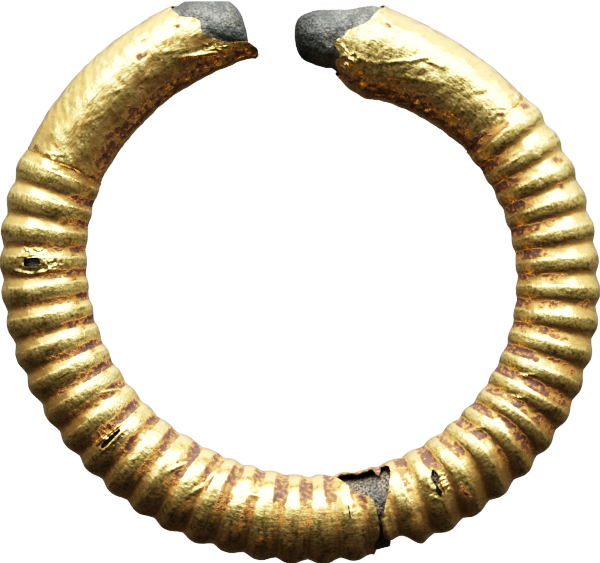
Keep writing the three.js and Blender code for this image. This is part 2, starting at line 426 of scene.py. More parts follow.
def split_faces(sheet, chosen, cuts):
    """Cuts each chosen face into a finer grid."""
    bpy.ops.object.mode_set(mode="EDIT")
    bpy.ops.mesh.select_mode(type="FACE")
    bpy.ops.mesh.select_all(action="DESELECT")
    bpy.ops.object.mode_set(mode="OBJECT")
    sheet.data.polygons.foreach_set("select", chosen)
    bpy.ops.object.mode_set(mode="EDIT")
    bpy.ops.mesh.subdivide(number_cuts=cuts)
    bpy.ops.object.mode_set(mode="OBJECT")


def outer_faces(sheet):
    """The middles of the sheet's faces, and which of them are on its outer side."""
    faces = sheet.data.polygons
    return read_triples(faces, "center"), read_triples(faces, "normal")[:, 2] > 0.5


def thicken(sheet, finer=()):
    """Gives the sheet its thickness and makes its outer face twice as fine each way. The areas
    in `finer`, each (along, degrees) to (along, degrees), are made three times as fine again."""
    select_only(sheet)
    wall = sheet.modifiers.new("thickness", "SOLIDIFY")
    wall.thickness = FOIL
    wall.offset = -1
    bpy.ops.object.modifier_apply(modifier=wall.name)
    split_faces(sheet, outer_faces(sheet)[1], 1)
    middles, outer = outer_faces(sheet)
    chosen = np.zeros(len(middles), bool)
    for low, high in finer:
        inside = (middles[:, 0] > low[0]) & (middles[:, 0] < high[0])
        degrees = middles[:, 1] / MM_PER_DEGREE
        chosen |= inside & (degrees > low[1]) & (degrees < high[1])
    if chosen.any():
        split_faces(sheet, chosen & outer, 2)


def cut_through(sheet, outline):
    """Cuts one closed outline of (along, degrees) points through the flat sheet."""
    bpy.ops.object.select_all(action="DESELECT")
    bpy.ops.mesh.primitive_circle_add(vertices=len(outline), fill_type="NGON")
    knife = bpy.context.object
    points = [(along, degrees * MM_PER_DEGREE, -KNIFE_REACH) for along, degrees in outline]
    set_coordinates(knife, np.array(points))
    bpy.ops.object.mode_set(mode="EDIT")
    bpy.ops.mesh.select_all(action="SELECT")
    bpy.ops.mesh.extrude_region_move(TRANSFORM_OT_translate={"value": (0, 0, 2 * KNIFE_REACH)})
    bpy.ops.mesh.select_all(action="SELECT")
    bpy.ops.mesh.normals_make_consistent(inside=False)
    bpy.ops.object.mode_set(mode="OBJECT")
    select_only(sheet)
    cut = sheet.modifiers.new("cut", "BOOLEAN")
    cut.object = knife
    cut.operation = "DIFFERENCE"
    cut.solver = "EXACT"
    bpy.ops.object.modifier_apply(modifier=cut.name)
    bpy.data.objects.remove(knife)


def write_maps(piece, along, round_mm, depth, maps):
    """Stores the flat sheet as the piece's UV map, and each map as an attribute."""
    layer = piece.data.uv_layers.new(name="sheet")
    corners = np.empty(len(piece.data.loops), int)
    piece.data.loops.foreach_get("vertex_index", corners)
    inner = np.where(depth < -FOIL / 2, INNER_FACE, 0.0)
    flat = np.stack([along, round_mm + SHEET_MARGIN + inner], -1) / SHEET_SPAN
    layer.data.foreach_set("uv", flat[corners].astype(np.float32).ravel())
    for name, values in maps.items():
        attribute = piece.data.attributes.new(name, "FLOAT", "POINT")
        attribute.data.foreach_set("value", np.clip(values, 0, 1).astype(np.float32))


# %% [markdown]
# ## The ribbed sheath
# The long foil was crimped into 38 narrow ribs. Each rib rises to a rounded crest and runs out
# softly in a narrow groove. The ribs stand a little higher on the hoop's outer side, where the
# foil is stretched round the bend, and here and there they lean or bow.

# %% Profile and run of the ribs
# Share of the rib's width, and height. The flank and the crest are two curves that meet.
SHOULDER = 0.3125
RIB_FLANK = [[0.0, 0.0], [0.05, 0.1], [0.14, 0.37], [0.22, 0.63], [SHOULDER, 0.88]]
RIB_CREST = [
    [SHOULDER, 0.88], [0.4, 0.98], [0.5, 1.0], [0.6, 0.92], [0.72, 0.64], [0.83, 0.32], [0.92, 0.14],
    [1.0, 0.0],
]
# Height in mm on top of the tube, and how much more on the hoop's outer side.
RIB_HEIGHT = 0.18
RIB_LEAN = 0.055
# The first and the last rib are lower.
END_RIB = 0.75
RIB_UNEVENNESS = 0.16
# The rib before the tear is pressed down.
PRESSED_RIB = 0.55
PRESSED_STRETCH = (39.4, 40.5, 40.7, 40.9)
# Ribs that lean or bow: how far, the place and its reach, the angle and its reach.
RIB_BENDS = [(0.38, 31.4, 3.2, 178, 85), (0.5, 46.5, 5.5, 96, 80), (0.15, 45.5, 4.5, 178, 60)]
GROOVE_INDEX = np.linspace(0, RIBS, 2001)
GROOVE_ALONG = (
    RIBS_START
    + GROOVE_INDEX * (RIBS_END - RIBS_START) / RIBS
    + RIB_DRIFT * np.sin(math.pi * GROOVE_INDEX / RIBS)
)


def rib_profile(share):
    """Height over the groove, from 0 to 1, at a share of the rib's width."""
    flank, crest = (curve_through(part, 1, share) for part in (RIB_FLANK, RIB_CREST))
    return np.where(share < SHOULDER, flank, crest)


def rib_run(place, degrees):
    """How far a rib is carried along the hoop, at any angle round the tube."""
    turned = wrapped(degrees, UNDERSIDE)
    return sum(
        carried * mound(place, middle, reach) * mound(turned, angle, turn)
        for carried, middle, reach, angle, turn in RIB_BENDS
    )


def rib_height(place, degrees):
    """Height of the ribs over the smooth tube, at a place on the flat sheet."""
    index = np.interp(place, GROOVE_ALONG, GROOVE_INDEX)
    middle = np.sin(math.pi * (place - RIBS_START) / (RIBS_END - RIBS_START))
    fullness = END_RIB + (1 - END_RIB) * middle
    height = RIB_HEIGHT + RIB_LEAN * np.cos(np.radians(degrees))
    uneven = 1 + RIB_UNEVENNESS * noise(np.floor(index) * 3.7, degrees / 55, 11)
    start, full, fading, end = PRESSED_STRETCH
    by_tear = 1 - PRESSED_RIB * step(place, start, full) * (1 - step(place, fading, end))
    return fullness * height * uneven * by_tear * rib_profile(index % 1)


# %% [markdown]
# ## Tear, cracks and folds of the sheath
# Low on the hoop the foil has split. A wedge has gone on the inner side, where the core shows,
# and a crack runs from it over the top and down the outer side, with the foil beyond it
# pressed in. There are four small holes and slits as well, with crushed foil beside them. A
# number of thin folds cross the grooves at a slant, where the foil was pushed together.

# %% Outlines of the tear and the small cuts
# Angle round the tube, and place along the hoop.
TEAR_LEFT = [
    [-36, 40.3], [-10, 40.16], [10, 40.12], [30, 40.18], [44, 40.26], [54, 40.5], [66, 40.6],
    [80, 40.66], [88, 40.66], [96, 40.66], [104, 40.62], [110, 40.5], [116, 40.2], [122, 39.86],
    [130, 39.55], [138, 39.3], [148, 39.05], [158, 38.8],
]
TEAR_RIGHT = [
    [-36, 40.7], [-10, 41.0], [10, 41.06], [30, 41.02], [42, 40.92], [52, 40.7], [66, 40.75],
    [80, 40.8], [86, 41.0], [94, 41.16], [102, 41.32], [110, 41.5], [120, 41.7], [130, 41.87],
    [140, 42.0], [150, 41.98], [158, 41.8],
]
# The edge of the rim that still spans the wedge, with a shred of foil hanging from it.
TEAR_RIM = [
    (41.55, 159), (41.42, 148), (41.3, 141), (41.16, 144), (41.02, 158), (40.6, 161), (40.2, 159),
    (39.8, 162), (39.4, 160),
]
TEAR_SPAN = (-36, 158)
TEAR_STEPS = 56
TEAR_GAP = 0.03


def tear_outline():
    """The wedge and the crack as one closed line, a little ragged."""
    degrees = np.linspace(*TEAR_SPAN, TEAR_STEPS)
    ragged = 0.035 * np.clip((degrees - 60) / 40, 0.2, 1)
    left = curve_through(TEAR_LEFT, 1, degrees) + ragged * noise(degrees / 4, degrees * 0, 21)
    right = curve_through(TEAR_RIGHT, 1, degrees) + ragged * noise(degrees / 4, degrees * 0, 22)
    right = np.maximum(right, left + TEAR_GAP)
    there = list(zip(right, degrees))
    back = list(zip(left, degrees))[::-1]
    return there + TEAR_RIM + back


def ragged_hole(middle, half_length, half_degrees, corners, seed, square=0.0):
    """A small hole round a middle (along, degrees): an oval, or with `square` more of a
    rectangle, with an uneven edge."""
    turns = np.linspace(0, 2 * math.pi, corners, endpoint=False)
    power = 1 - 0.6 * square
    wobble = 1 + 0.16 * noise(turns * 2, turns * 0 + 0.5, seed)
    x = np.sign(np.cos(turns)) * np.abs(np.cos(turns)) ** power
    y = np.sign(np.sin(turns)) * np.abs(np.sin(turns)) ** power
    return list(
        zip(middle[0] + half_length * x * wobble, middle[1] + half_degrees * y * wobble)
    )


# Two diamonds, one over the other: place and angle.
DIAMOND_HOLE = [
    (43.66, 76), (43.8, 81), (43.74, 87), (43.74, 91), (43.92, 97), (44.02, 104), (43.96, 114),
    (43.78, 110), (43.63, 103), (43.62, 95), (43.64, 91), (43.54, 86), (43.57, 80),
]
SMALL_CUTS = [
    ragged_hole((16.9, 75.5), 0.21, 11.0, 18, 31, 0.8),
    ragged_hole((26.43, 82), 0.1, 18.0, 18, 32, 0.5),
    ragged_hole((39.32, 96), 0.035, 9.0, 12, 33),
    DIAMOND_HOLE,
]
TEAR = tear_outline()
FAR_OFF = 9.0
SEARCH_REACH = 3.5


def distance_to(outline, along, round_mm):
    """Distance in mm from points of the flat sheet to a closed outline, or FAR_OFF."""
    corners = np.array([(a, d * MM_PER_DEGREE) for a, d in outline])
    nearest = np.full(len(along), FAR_OFF)
    near = np.abs(along - corners[:, 0].mean()) < SEARCH_REACH
    point = np.stack([along[near], round_mm[near]], -1)
    found = np.full(len(point), FAR_OFF)
    for start, end in zip(corners, np.roll(corners, -1, 0)):
        side = end - start
        share = np.clip((point - start) @ side / (side @ side), 0, 1)
        gap = np.linalg.norm(point - start - share[:, None] * side, axis=1)
        found = np.minimum(found, gap)
    nearest[near] = found
    return nearest


# %% Folds that cross the grooves
# From along and degrees to along and degrees, height and half width in mm.
FOLDS = [
    (24.25, 106, 24.85, 144, 0.15, 0.09), (24.85, 144, 24.95, 165, 0.1, 0.08),
    (29.4, 84, 30.25, 119, 0.17, 0.11), (30.85, 72, 31.6, 101, 0.17, 0.11),
    (31.6, 101, 31.95, 136, 0.09, 0.09), (33.75, 112, 34.6, 114, 0.15, 0.16),
    (47.1, 128, 47.95, 111, 0.16, 0.09), (48.55, 82, 49.1, 69, 0.12, 0.08),
    (49.85, 78, 50.3, 63, 0.1, 0.07), (49.95, 112, 50.45, 84, 0.16, 0.08),
    (51.1, 120, 51.7, 86, 0.16, 0.08), (52.75, 98, 53.1, 78, 0.1, 0.08),
    (14.5, 121, 14.85, 113, 0.12, 0.08), (18.6, 104, 19.0, 90, 0.08, 0.07),
]
# Lips of foil pushed up beside the holes, on top of the ribs.
CRUMPLES = [
    (17.3, 100, 17.5, 78, 0.13, 0.1), (17.5, 78, 17.3, 50, 0.14, 0.11),
    (16.62, 56, 16.5, 90, 0.1, 0.07), (26.2, 62, 26.18, 84, 0.12, 0.07),
    (26.18, 84, 26.26, 106, 0.12, 0.07), (26.62, 60, 26.6, 98, 0.12, 0.07),
    (44.14, 80, 44.26, 96, 0.12, 0.07), (44.26, 96, 44.4, 108, 0.1, 0.07),
]
# Crushed foil: along, degrees, reach along and round in mm, strength.
CRUSHED = [
    (17.1, 100, 0.34, 0.45, 1.3), (16.35, 76, 0.22, 0.5, 0.8), (17.5, 66, 0.16, 0.5, 0.5),
    (26.02, 84, 0.26, 0.75, 0.9), (26.7, 80, 0.14, 0.8, 0.7), (44.3, 94, 0.24, 0.6, 1.0),
    (12.2, 72, 0.2, 0.75, 0.8), (12.3, 110, 0.15, 0.7, 0.4), (64.75, 75, 0.2, 0.5, 0.6),
    (64.7, 35, 0.2, 0.5, 0.5),
]
# Facets of crushed foil: height, length and width of the hills in mm, their lean and seed.
FACETS = [(0.095, 0.38, 0.34, 0, 47), (0.04, 0.26, 0.17, 35, 48)]
# The sheet is made finer here, from one (along, degrees) to another.
CRUSHED_AREAS = [
    ((15.9, 50), (17.75, 118)), ((25.6, 56), (26.95, 110)), ((43.3, 72), (44.9, 118)),
]


def folds_height(along, round_mm, folds):
    """Height of a set of folds over the sheet, each running out at both ends."""
    total = np.zeros(len(along))
    point = np.stack([along, round_mm], -1)
    for from_along, from_degrees, to_along, to_degrees, height, half_width in folds:
        first = np.array([from_along, from_degrees * MM_PER_DEGREE])
        side = np.array([to_along, to_degrees * MM_PER_DEGREE]) - first
        share = np.clip((point - first) @ side / (side @ side), 0, 1)
        gap = np.linalg.norm(point - first - share[:, None] * side, axis=1)
        running_out = 0.45 + 0.55 * np.sin(math.pi * share)
        total = np.maximum(total, height * running_out * np.exp(-((gap / half_width) ** 2)))
    return total


def spots_sum(along, round_mm, spots):
    """Sum of soft round spots."""
    total = np.zeros(len(along))
    for at, degrees, reach_along, reach_round, strength in spots:
        u = (along - at) / reach_along
        v = (round_mm - degrees * MM_PER_DEGREE) / reach_round
        total += strength * np.exp(-(u * u + v * v))
    return total


def crushed(along, round_mm, spots):
    """Sharp little facets of crushed foil in some spots, in mm."""
    facets = sum(
        height * (0.8 - 2.4 * np.abs(leaning_noise(along, round_mm, *hills)))
        for height, *hills in FACETS
    )
    return np.clip(spots_sum(along, round_mm, spots), 0, 1) * facets


# %% [markdown]
# ## Deposits and painted shade
# Red-brown and purple deposits fill the grooves, mostly on the inner side of the hoop and on
# the side of each groove where the rib falls away. The same map also holds painted shade: a dark
# line along the groove bottoms, and dark rib fronts low on the hoop's outer side. The map goes to
# the material as an attribute, and it raises the surface a little, because the dirt has a body.

# %% Map of the deposits and of painted shade
LOWEST = 36
# Along the hoop: the angle where the dirt is strongest, how far it reaches, and its strength.
DIRT_RUN = [
    [12, 165, 60, 0.75], [16, 160, 75, 0.8], [21, 142, 80, 0.95], [26, 140, 85, 0.95],
    [30, 145, 80, 0.8], [36, 150, 70, 0.72], [40, 145, 60, 0.68], [45, 150, 60, 0.92],
    [48, 122, 90, 1.2], [51, 114, 92, 1.25], [54, 150, 75, 1.0], [60, 150, 60, 0.95],
    [65, 155, 50, 0.8],
]
DIRT_STRENGTH = 1.35
UNDERSIDE_DIRT = 0.35
# Single stains: along, degrees, reach along and round in mm, strength.
RIB_STAINS = [
    (64.75, 34, 0.2, 0.3, 0.9), (64.7, 84, 0.12, 0.3, 0.8), (62.0, 42, 0.2, 0.4, 0.9),
    (60.9, 56, 0.22, 0.22, 0.8), (55.4, 46, 0.22, 0.35, 0.8), (40.2, 108, 0.25, 0.3, 0.5),
    (44.9, 64, 0.2, 0.5, 0.6),
]


def rib_dirt_and_shade(place, along, degrees, round_mm):
    """How thick the deposits lie at each point of the ribbed sheet, from 0 to 1, with painted shade
    added along the groove bottoms and on the rib fronts low on the hoop's outer side.
    """
    share = np.interp(place, GROOVE_ALONG, GROOVE_INDEX) % 1
    turned = wrapped(degrees, UNDERSIDE)
    low = mound(along, LOWEST, 16)
    fall, rise = 0.66 - 0.13 * low, 0.04 + 0.08 * low
    floor_of_groove = np.where(
        share > 0.5, step(share, fall, fall + 0.16), 1 - step(share, rise, rise + 0.12)
    )
    angle, reach, strength = (curve_through(DIRT_RUN, k, along) for k in (1, 2, 3))
    round_about = np.exp(-(((turned - angle) / reach) ** 2) * 1.2)
    patches = 0.5 + 0.75 * leaning_noise(along, round_mm, 1.3, 0.7, 90, 41)
    patches += 0.35 * noise(along / 0.35, round_mm / 0.35, 42)
    patches = np.clip(patches, 0, 1.3)
    underside = UNDERSIDE_DIRT * step(-turned, 10, 60)
    laid = (DIRT_STRENGTH * strength * round_about + underside) * patches
    # A dark line along the bottom of each groove is painted shade of the crease.
    crease_shade = 1 - step(np.minimum(share, 1 - share), 0.0, 0.09)
    by_chance = noise(along / 0.8, round_mm / 0.6, 45)
    dust_and_crease_shade = 0.04 + 0.1 * low + 0.2 * mound(turned, 145, 34) + 0.07 * by_chance + 0.12 * crease_shade
    bridged = np.clip(folds_height(along, round_mm, FOLDS + CRUMPLES) / 0.07, 0, 1)
    # Low on the hoop the outer side is darkened on the ribs by dirt and painted shade, and the
    # grooves there get less dirt, which leaves lighter lines between the ribs.
    low_shaded_front = low * (1 - step(turned, 55, 95))
    at_joint = 0.4 + 0.6 * step(place, RIBS_START + 0.1, RIBS_START + 0.5)
    grooves = floor_of_groove * (laid + dust_and_crease_shade) * (1 - 0.9 * bridged) * (1 - 0.75 * low_shaded_front)
    front_dirt_and_shade = 0.42 * low_shaded_front * plateau(share, 0.08, 0.28, 0.74, 0.9) * patches
    return at_joint * grooves + front_dirt_and_shade + spots_sum(along, round_mm, RIB_STAINS)


def rib_wear_and_shade(place, along, degrees, round_mm):
    """How dull and olive the foil is at each point of the ribs: wear on the crests but not on the
    flanks, and painted shade on the flank and the outer side turned from the light. Low on the hoop
    the whole outer side is dull as painted shade, with lighter lines along its grooves as painted
    highlights, and the inner side, which faces the light, is bright."""
    share = np.interp(place, GROOVE_ALONG, GROOVE_INDEX) % 1
    ragged = 0.05 * noise(along / 0.3, round_mm / 0.3, 43)
    # The dull band lies on the flank turned from the light, on each half of the hoop: painted shade.
    lit_side = step(along, 34, 46)
    start, end = 0.3 - 0.1 * lit_side, 0.86 - 0.24 * lit_side
    on_crest = plateau(share + ragged, start - 0.06, start + 0.04, end - 0.08, end + 0.08)
    turned = wrapped(degrees, UNDERSIDE)
    low = mound(along, LOWEST, 15)
    inwards = step(turned + 14 * noise(along / 0.6, round_mm / 0.5, 50), 84, 116)
    # Low on the outer side, a lighter line along each groove is a painted highlight.
    line = 1 - step(np.minimum(share, 1 - share), 0.03, 0.1)
    low_wear_and_shade = 0.95 - 0.8 * inwards - 0.55 * line * (1 - inwards)
    # The outer side of the arms is made dull too, as painted shade.
    outwards = 1 - step(turned, 18, 58)
    wear_and_shade = (0.2 + 0.8 * on_crest) * (1 - low) + low_wear_and_shade * low
    wear_and_shade = np.maximum(wear_and_shade, 0.7 * outwards * (1 - low)) * (1 - 0.2 * step(turned, 128, 152))
    return wear_and_shade * (0.9 + 0.4 * noise(along / 0.9, round_mm / 0.7, 44))


# %% Roll the ribbed sheath on the hoop
# The pressed-in foil beside the crack.
SUNK_RADIUS = 1.58
SUNK_MIDDLE = -4
SUNK_REACH = 62
# The foil laps over itself at its seam, and stands up there.
SEAM = -135
LAP = 8
LAP_HEIGHT = 0.07
# Unevenness of the foil, told as the facets are.
BEATEN = [(0.022, 1.2, 0.9, 0, 51), (0.014, 0.9, 0.32, 55, 52), (0.008, 0.42, 0.24, 50, 53)]
DIRT_HEIGHT = 0.022
DIRT_ROUGHNESS = 0.006
# Edges stand up a little: height and reach in mm.
TEAR_CURL = (0.07, 0.16)
CUT_CURL = (0.06, 0.14)
END_LIFT = (0.045, 0.18)
# Columns along the hoop, and rows round the tube.
SHEATH_COUNTS = (8 * RIBS, 56)


def pressed_in(along, degrees):
    """1 where the foil beside the crack is pressed in, 0 elsewhere."""
    turned = wrapped(degrees, -180)
    crack = curve_through(TEAR_RIGHT, 1, turned)
    beyond = plateau(along, crack - 0.1, crack - 0.02, 41.35, 42.25)
    return beyond * np.clip(mound(turned, SUNK_MIDDLE, SUNK_REACH) * 1.3, 0, 1)


def lap_height(degrees, seam):
    """How far the foil stands up where it laps over itself before a seam."""
    return LAP_HEIGHT * step(degrees, seam + 360 - LAP, seam + 360)


def crumple(along, round_mm, strength):
    """Shallow unevenness of beaten foil, in mm: soft dents, and finer slanting ones."""
    return strength * sum(
        height * leaning_noise(along, round_mm, *hills) for height, *hills in BEATEN
    )


def to_rib_end(place):
    """Distance in mm to the nearer end of the ribbed sheet."""
    return np.minimum(place - RIBS_START, RIBS_END - place)


def sheath_radius(place, along, degrees, round_mm, dirt_and_shade):
    """Radius of the sheath's outer face at each point."""
    radius = curve_through(TUBE, 1, along)
    relief = rib_height(place, degrees)
    folds = folds_height(along, round_mm, FOLDS)
    relief = np.maximum(relief, folds + 0.3 * relief)
    relief += folds_height(along, round_mm, CRUMPLES) + crushed(along, round_mm, CRUSHED)
    relief += crumple(along, round_mm, 0.75)
    relief += DIRT_HEIGHT * dirt_and_shade + DIRT_ROUGHNESS * dirt_and_shade * noise(along / 0.13, round_mm / 0.13, 54)
    radius = radius + relief
    sunk = pressed_in(along, degrees)
    radius += sunk * (SUNK_RADIUS + 0.3 * crumple(along, round_mm, 1.5) - radius)
    for outline in [TEAR] + SMALL_CUTS:
        lift, reach = TEAR_CURL if outline is TEAR else CUT_CURL
        gap = distance_to(outline, along, round_mm)
        curl = lift * np.exp(-((gap / reach) ** 2))
        radius += curl * (0.7 + 0.8 * noise(along / 0.3, round_mm / 0.3, 55)) * (1 - sunk)
    lift, reach = END_LIFT
    lifted = lift * np.exp(-to_rib_end(place) / reach) * (0.8 + noise(degrees / 14, along, 56))
    return radius + lap_height(degrees, SEAM) + lifted


def ribbed_sheath():
    """The whole sheath: cut from a flat sheet, crimped and rolled."""

    def along_at(share, degrees):
        return np.interp(share * RIBS, GROOVE_INDEX, GROOVE_ALONG)

    columns, rows = SHEATH_COUNTS
    sheet = flat_sheet("ribbed_foil", columns, rows, along_at, SEAM, SEAM + 360 + LAP)
    thicken(sheet, CRUSHED_AREAS)
    for outline in [TEAR] + SMALL_CUTS:
        cut_through(sheet, outline)
    points = coordinates(sheet)
    place, round_mm, depth = points.T
    degrees = round_mm / MM_PER_DEGREE
    ragged = 0.07 * noise(degrees / 11, degrees * 0, 57)
    ragged += 0.04 * noise(degrees / 4, degrees * 0, 58)
    along = place + rib_run(place, degrees) + ragged * np.exp(-to_rib_end(place) / 0.15)
    dirt_and_shade = rib_dirt_and_shade(place, along, degrees, round_mm)
    wear_and_shade = rib_wear_and_shade(place, along, degrees, round_mm)
    write_maps(sheet, along, round_mm, depth, {"dirt_and_shade": dirt_and_shade, "wear_and_shade": wear_and_shade})
    radius = sheath_radius(place, along, degrees, round_mm, dirt_and_shade) + depth
    shift = curve_through(TUBE, 2, along)
    set_coordinates(sheet, within_frame(on_tube(along, degrees, radius, shift)))
    return sheet


sheath = ribbed_sheath()
print("ribbed sheath:", len(sheath.data.polygons), "faces")

# %% [markdown]
# ## The plain sleeves
# Each end is covered by a plain foil, burnished and finely scratched, and torn back from the
# end of the core in a ragged line. The sheet's first column is drawn along that torn line, and
# the last one where the ribs begin.

# %% Torn edges of the sleeves
# Angle round the tube, and place along the hoop.
LEFT_EDGE = [
    [-60, 2.1], [0, 3.0], [28, 3.02], [44, 2.9], [54, 2.78], [58, 2.45], [68, 2.1], [82, 2.2],
    [90, 2.05], [98, 1.75], [104, 1.5], [111, 1.15], [114, 0.9], [118, 0.25], [123, 0.0], [135, -0.3],
    [160, -0.3], [180, -0.1], [225, 0.5], [270, 1.3], [300, 2.1], [360, 3.0],
]
RIGHT_EDGE = [
    [-90, 73.4], [-45, 72.8], [0, 72.4], [20, 72.33], [36, 72.58], [48, 72.74], [58, 73.0], [64, 73.4],
    [70, 73.68], [80, 73.8], [90, 74.12], [97, 74.24], [104, 74.12], [112, 73.88], [120, 73.86],
    [132, 74.02], [145, 73.85], [160, 73.65], [180, 73.9], [225, 73.8], [270, 73.4], [315, 72.8],
]
# The left sleeve gets no narrower beyond this place.
LEFT_FULLEST = 1.0
EDGE_LIFT = (0.035, 0.2)
# The last stretch of a sleeve lies under the edge of the ribbed foil, in a dark line of dirt
# and painted shade of the crevice.
TUCK = 0.24
TUCK_DEPTH = 0.07
TUCK_DIRT_AND_SHADE = 0.7
# The columns lie closer together towards the torn edge, by this power.
CLOSER = 1.15
# Middle and reach of the dull upper side.
DULL_TOP = (98, 52)


def torn_edge(table, degrees, seed):
    """Where the torn edge lies along the hoop, at each angle."""
    turned = wrapped(degrees, -60)
    ragged = 0.05 * noise(turned / 7, turned * 0, seed)
    ragged += 0.03 * noise(turned / 2.6, turned * 0, seed)
    return curve_through(table, 1, turned) + ragged


LEFT_FOLDS = [
    (1.9, 122, 3.7, 107, 0.13, 0.09), (5.6, 103, 6.2, 103, 0.035, 0.05),
    (1.3, 117, 1.75, 118, 0.09, 0.07), (4.2, 144, 7.4, 147, 0.06, 0.07),
    (7.4, 147, 10.6, 146, 0.05, 0.06), (5.2, 128, 6.6, 133, 0.04, 0.07), (3.3, 100, 4.6, 84, 0.03, 0.1),
    (6.9, 96, 8.0, 82, 0.03, 0.1), (8.6, 100, 9.8, 84, 0.03, 0.1), (11.5, 84, 11.75, 62, 0.06, 0.06),
]
RIGHT_FOLDS = [
    (69.0, 73, 69.8, 79, 0.05, 0.07), (69.6, 71, 70.4, 87, 0.07, 0.09),
    (70.4, 87, 71.6, 101, 0.07, 0.08), (71.6, 101, 72.75, 107, 0.06, 0.06),
    (72.8, 103, 73.2, 118, 0.12, 0.06), (73.2, 118, 73.7, 124, 0.12, 0.06),
    (73.1, 100, 73.75, 112, 0.1, 0.05), (72.7, 113, 73.5, 109, 0.1, 0.05),
    (73.3, 126, 73.8, 133, 0.09, 0.05), (73.9, 96, 73.4, 104, 0.09, 0.05),
    (68.6, 96, 71.2, 118, 0.05, 0.12),
]
# Dents: along, degrees, reach along and round in mm, depth.
LEFT_DENTS = [
    (11.97, 103, 0.1, 0.5, 0.12), (11.95, 45, 0.1, 0.3, 0.08), (3.26, 63, 0.2, 0.16, 0.07),
    (5.4, 75, 0.2, 0.2, 0.05), (5.1, 77, 0.16, 0.12, 0.03), (4.9, 54, 0.25, 0.14, 0.03),
    (6.95, 84, 0.16, 0.3, 0.03), (6.3, 112, 0.3, 0.25, 0.03), (7.4, 152, 2.8, 0.07, 0.07),
]
RIGHT_DENTS = [
    (71.98, 50, 0.24, 0.14, 0.06), (69.5, 80, 0.7, 0.14, 0.05), (69.1, 86, 0.3, 0.12, 0.03),
    (70.6, 142, 0.5, 0.12, 0.06), (71.2, 150, 0.55, 0.1, 0.05), (71.7, 65, 0.9, 0.5, 0.03),
]
# Crushed foil of both sleeves.
SLEEVES_CRUSHED = [
    (11.85, 70, 0.2, 0.8, 0.7), (1.9, 112, 0.6, 0.35, 0.9), (1.3, 122, 0.4, 0.25, 0.6),
    (11.85, 110, 0.14, 0.6, 0.4), (73.3, 113, 0.5, 0.55, 0.9), (72.2, 106, 0.5, 0.2, 0.4),
    (65.3, 80, 0.25, 0.6, 0.5), (65.3, 30, 0.2, 0.5, 0.5),
]
# Stains: along, degrees, reach along and round in mm, strength.
LEFT_STAINS = [
    (3.26, 63, 0.22, 0.17, 1.0), (5.42, 75, 0.17, 0.2, 1.0), (5.1, 77, 0.12, 0.08, 0.8),
    (4.9, 54, 0.3, 0.1, 0.6), (6.25, 114, 0.35, 0.25, 0.7), (7.55, 123, 0.35, 0.3, 0.5),
    (9.4, 128, 0.5, 0.3, 0.6), (10.2, 138, 0.6, 0.25, 0.6), (8.4, 134, 0.35, 0.2, 0.5),
    (7.4, 151, 3.0, 0.16, 0.35), (0.2, 124, 0.5, 0.4, 0.35), (11.75, 35, 0.2, 0.4, 0.7),
    (11.9, 148, 0.12, 0.9, 0.5),
]
RIGHT_STAINS = [
    (71.98, 50, 0.2, 0.12, 0.8), (65.2, 22, 0.2, 0.3, 1.0), (65.15, 75, 0.12, 0.3, 0.8),
    (65.12, 140, 0.16, 1.6, 0.8), (68.9, 124, 1.2, 0.25, 0.35), (68.6, 150, 2.6, 0.16, 0.3),
    (73.6, 112, 0.25, 0.25, 0.5),
]


# Stained bands along the sleeves: strength, and their middle and reach round the tube.
BANDS = [(0.12, 235, 80), (0.5, 141, 34)]


def stains(along, degrees, round_mm, spots):
    """How thick the deposits lie on a sleeve, from 0 to 1."""
    total = spots_sum(along, round_mm, spots)
    for strength, middle, reach in BANDS:
        total += strength * mound(wrapped(degrees, UNDERSIDE), middle, reach)
    return total * (0.85 + 0.8 * noise(along / 0.45, round_mm / 0.45, 61))


def plain_sleeve(name, edge, folds, dents, spots, meets, seam, counts, top_wear, seed):
    """One plain sleeve, from its torn edge to the place where it meets the ribbed sheath."""
    at_left = meets < HOOP_LENGTH / 2

    def along_at(share, degrees):
        start = torn_edge(edge, degrees, seed)
        if at_left:
            return start + share**CLOSER * (meets - start)
        return meets + (1 - (1 - share) ** CLOSER) * (start - meets)

    sheet = flat_sheet(name, *counts, along_at, seam, seam + 360 + LAP)
    thicken(sheet)
    along, round_mm, depth = coordinates(sheet).T
    degrees = round_mm / MM_PER_DEGREE
    turned_mm = wrapped(degrees, -120) * MM_PER_DEGREE
    tucked = 1 - step(np.abs(along - meets), TUCK - 0.16, TUCK + 0.12)
    # The tucked stretch gets dirt and painted shade of the crevice.
    dirt_and_shade = stains(along, degrees, turned_mm, spots) + TUCK_DIRT_AND_SHADE * tucked
    on_top = mound(wrapped(degrees, UNDERSIDE), *DULL_TOP)
    wear_and_shade = 0.34 + on_top * top_wear + 0.45 * noise(along / 0.8, round_mm / 0.6, seed + 2)
    write_maps(sheet, along, round_mm, depth, {"dirt_and_shade": dirt_and_shade, "wear_and_shade": wear_and_shade})
    held = np.maximum(along, LEFT_FULLEST) if at_left else along
    radius = curve_through(TUBE, 1, held)
    radius += folds_height(along, turned_mm, folds) - spots_sum(along, turned_mm, dents)
    radius += crumple(along, round_mm, 1.5) + crushed(along, turned_mm, SLEEVES_CRUSHED)
    gap = np.abs(along - torn_edge(edge, degrees, seed))
    lift, reach = EDGE_LIFT
    radius += lift * np.exp(-gap / reach) * (0.6 + noise(along / 0.4, round_mm / 0.4, seed))
    radius -= TUCK_DEPTH * tucked
    radius += lap_height(degrees, seam) + depth
    shift = curve_through(TUBE, 2, held)
    set_coordinates(sheet, within_frame(on_tube(along, degrees, radius, shift)))
    return sheet


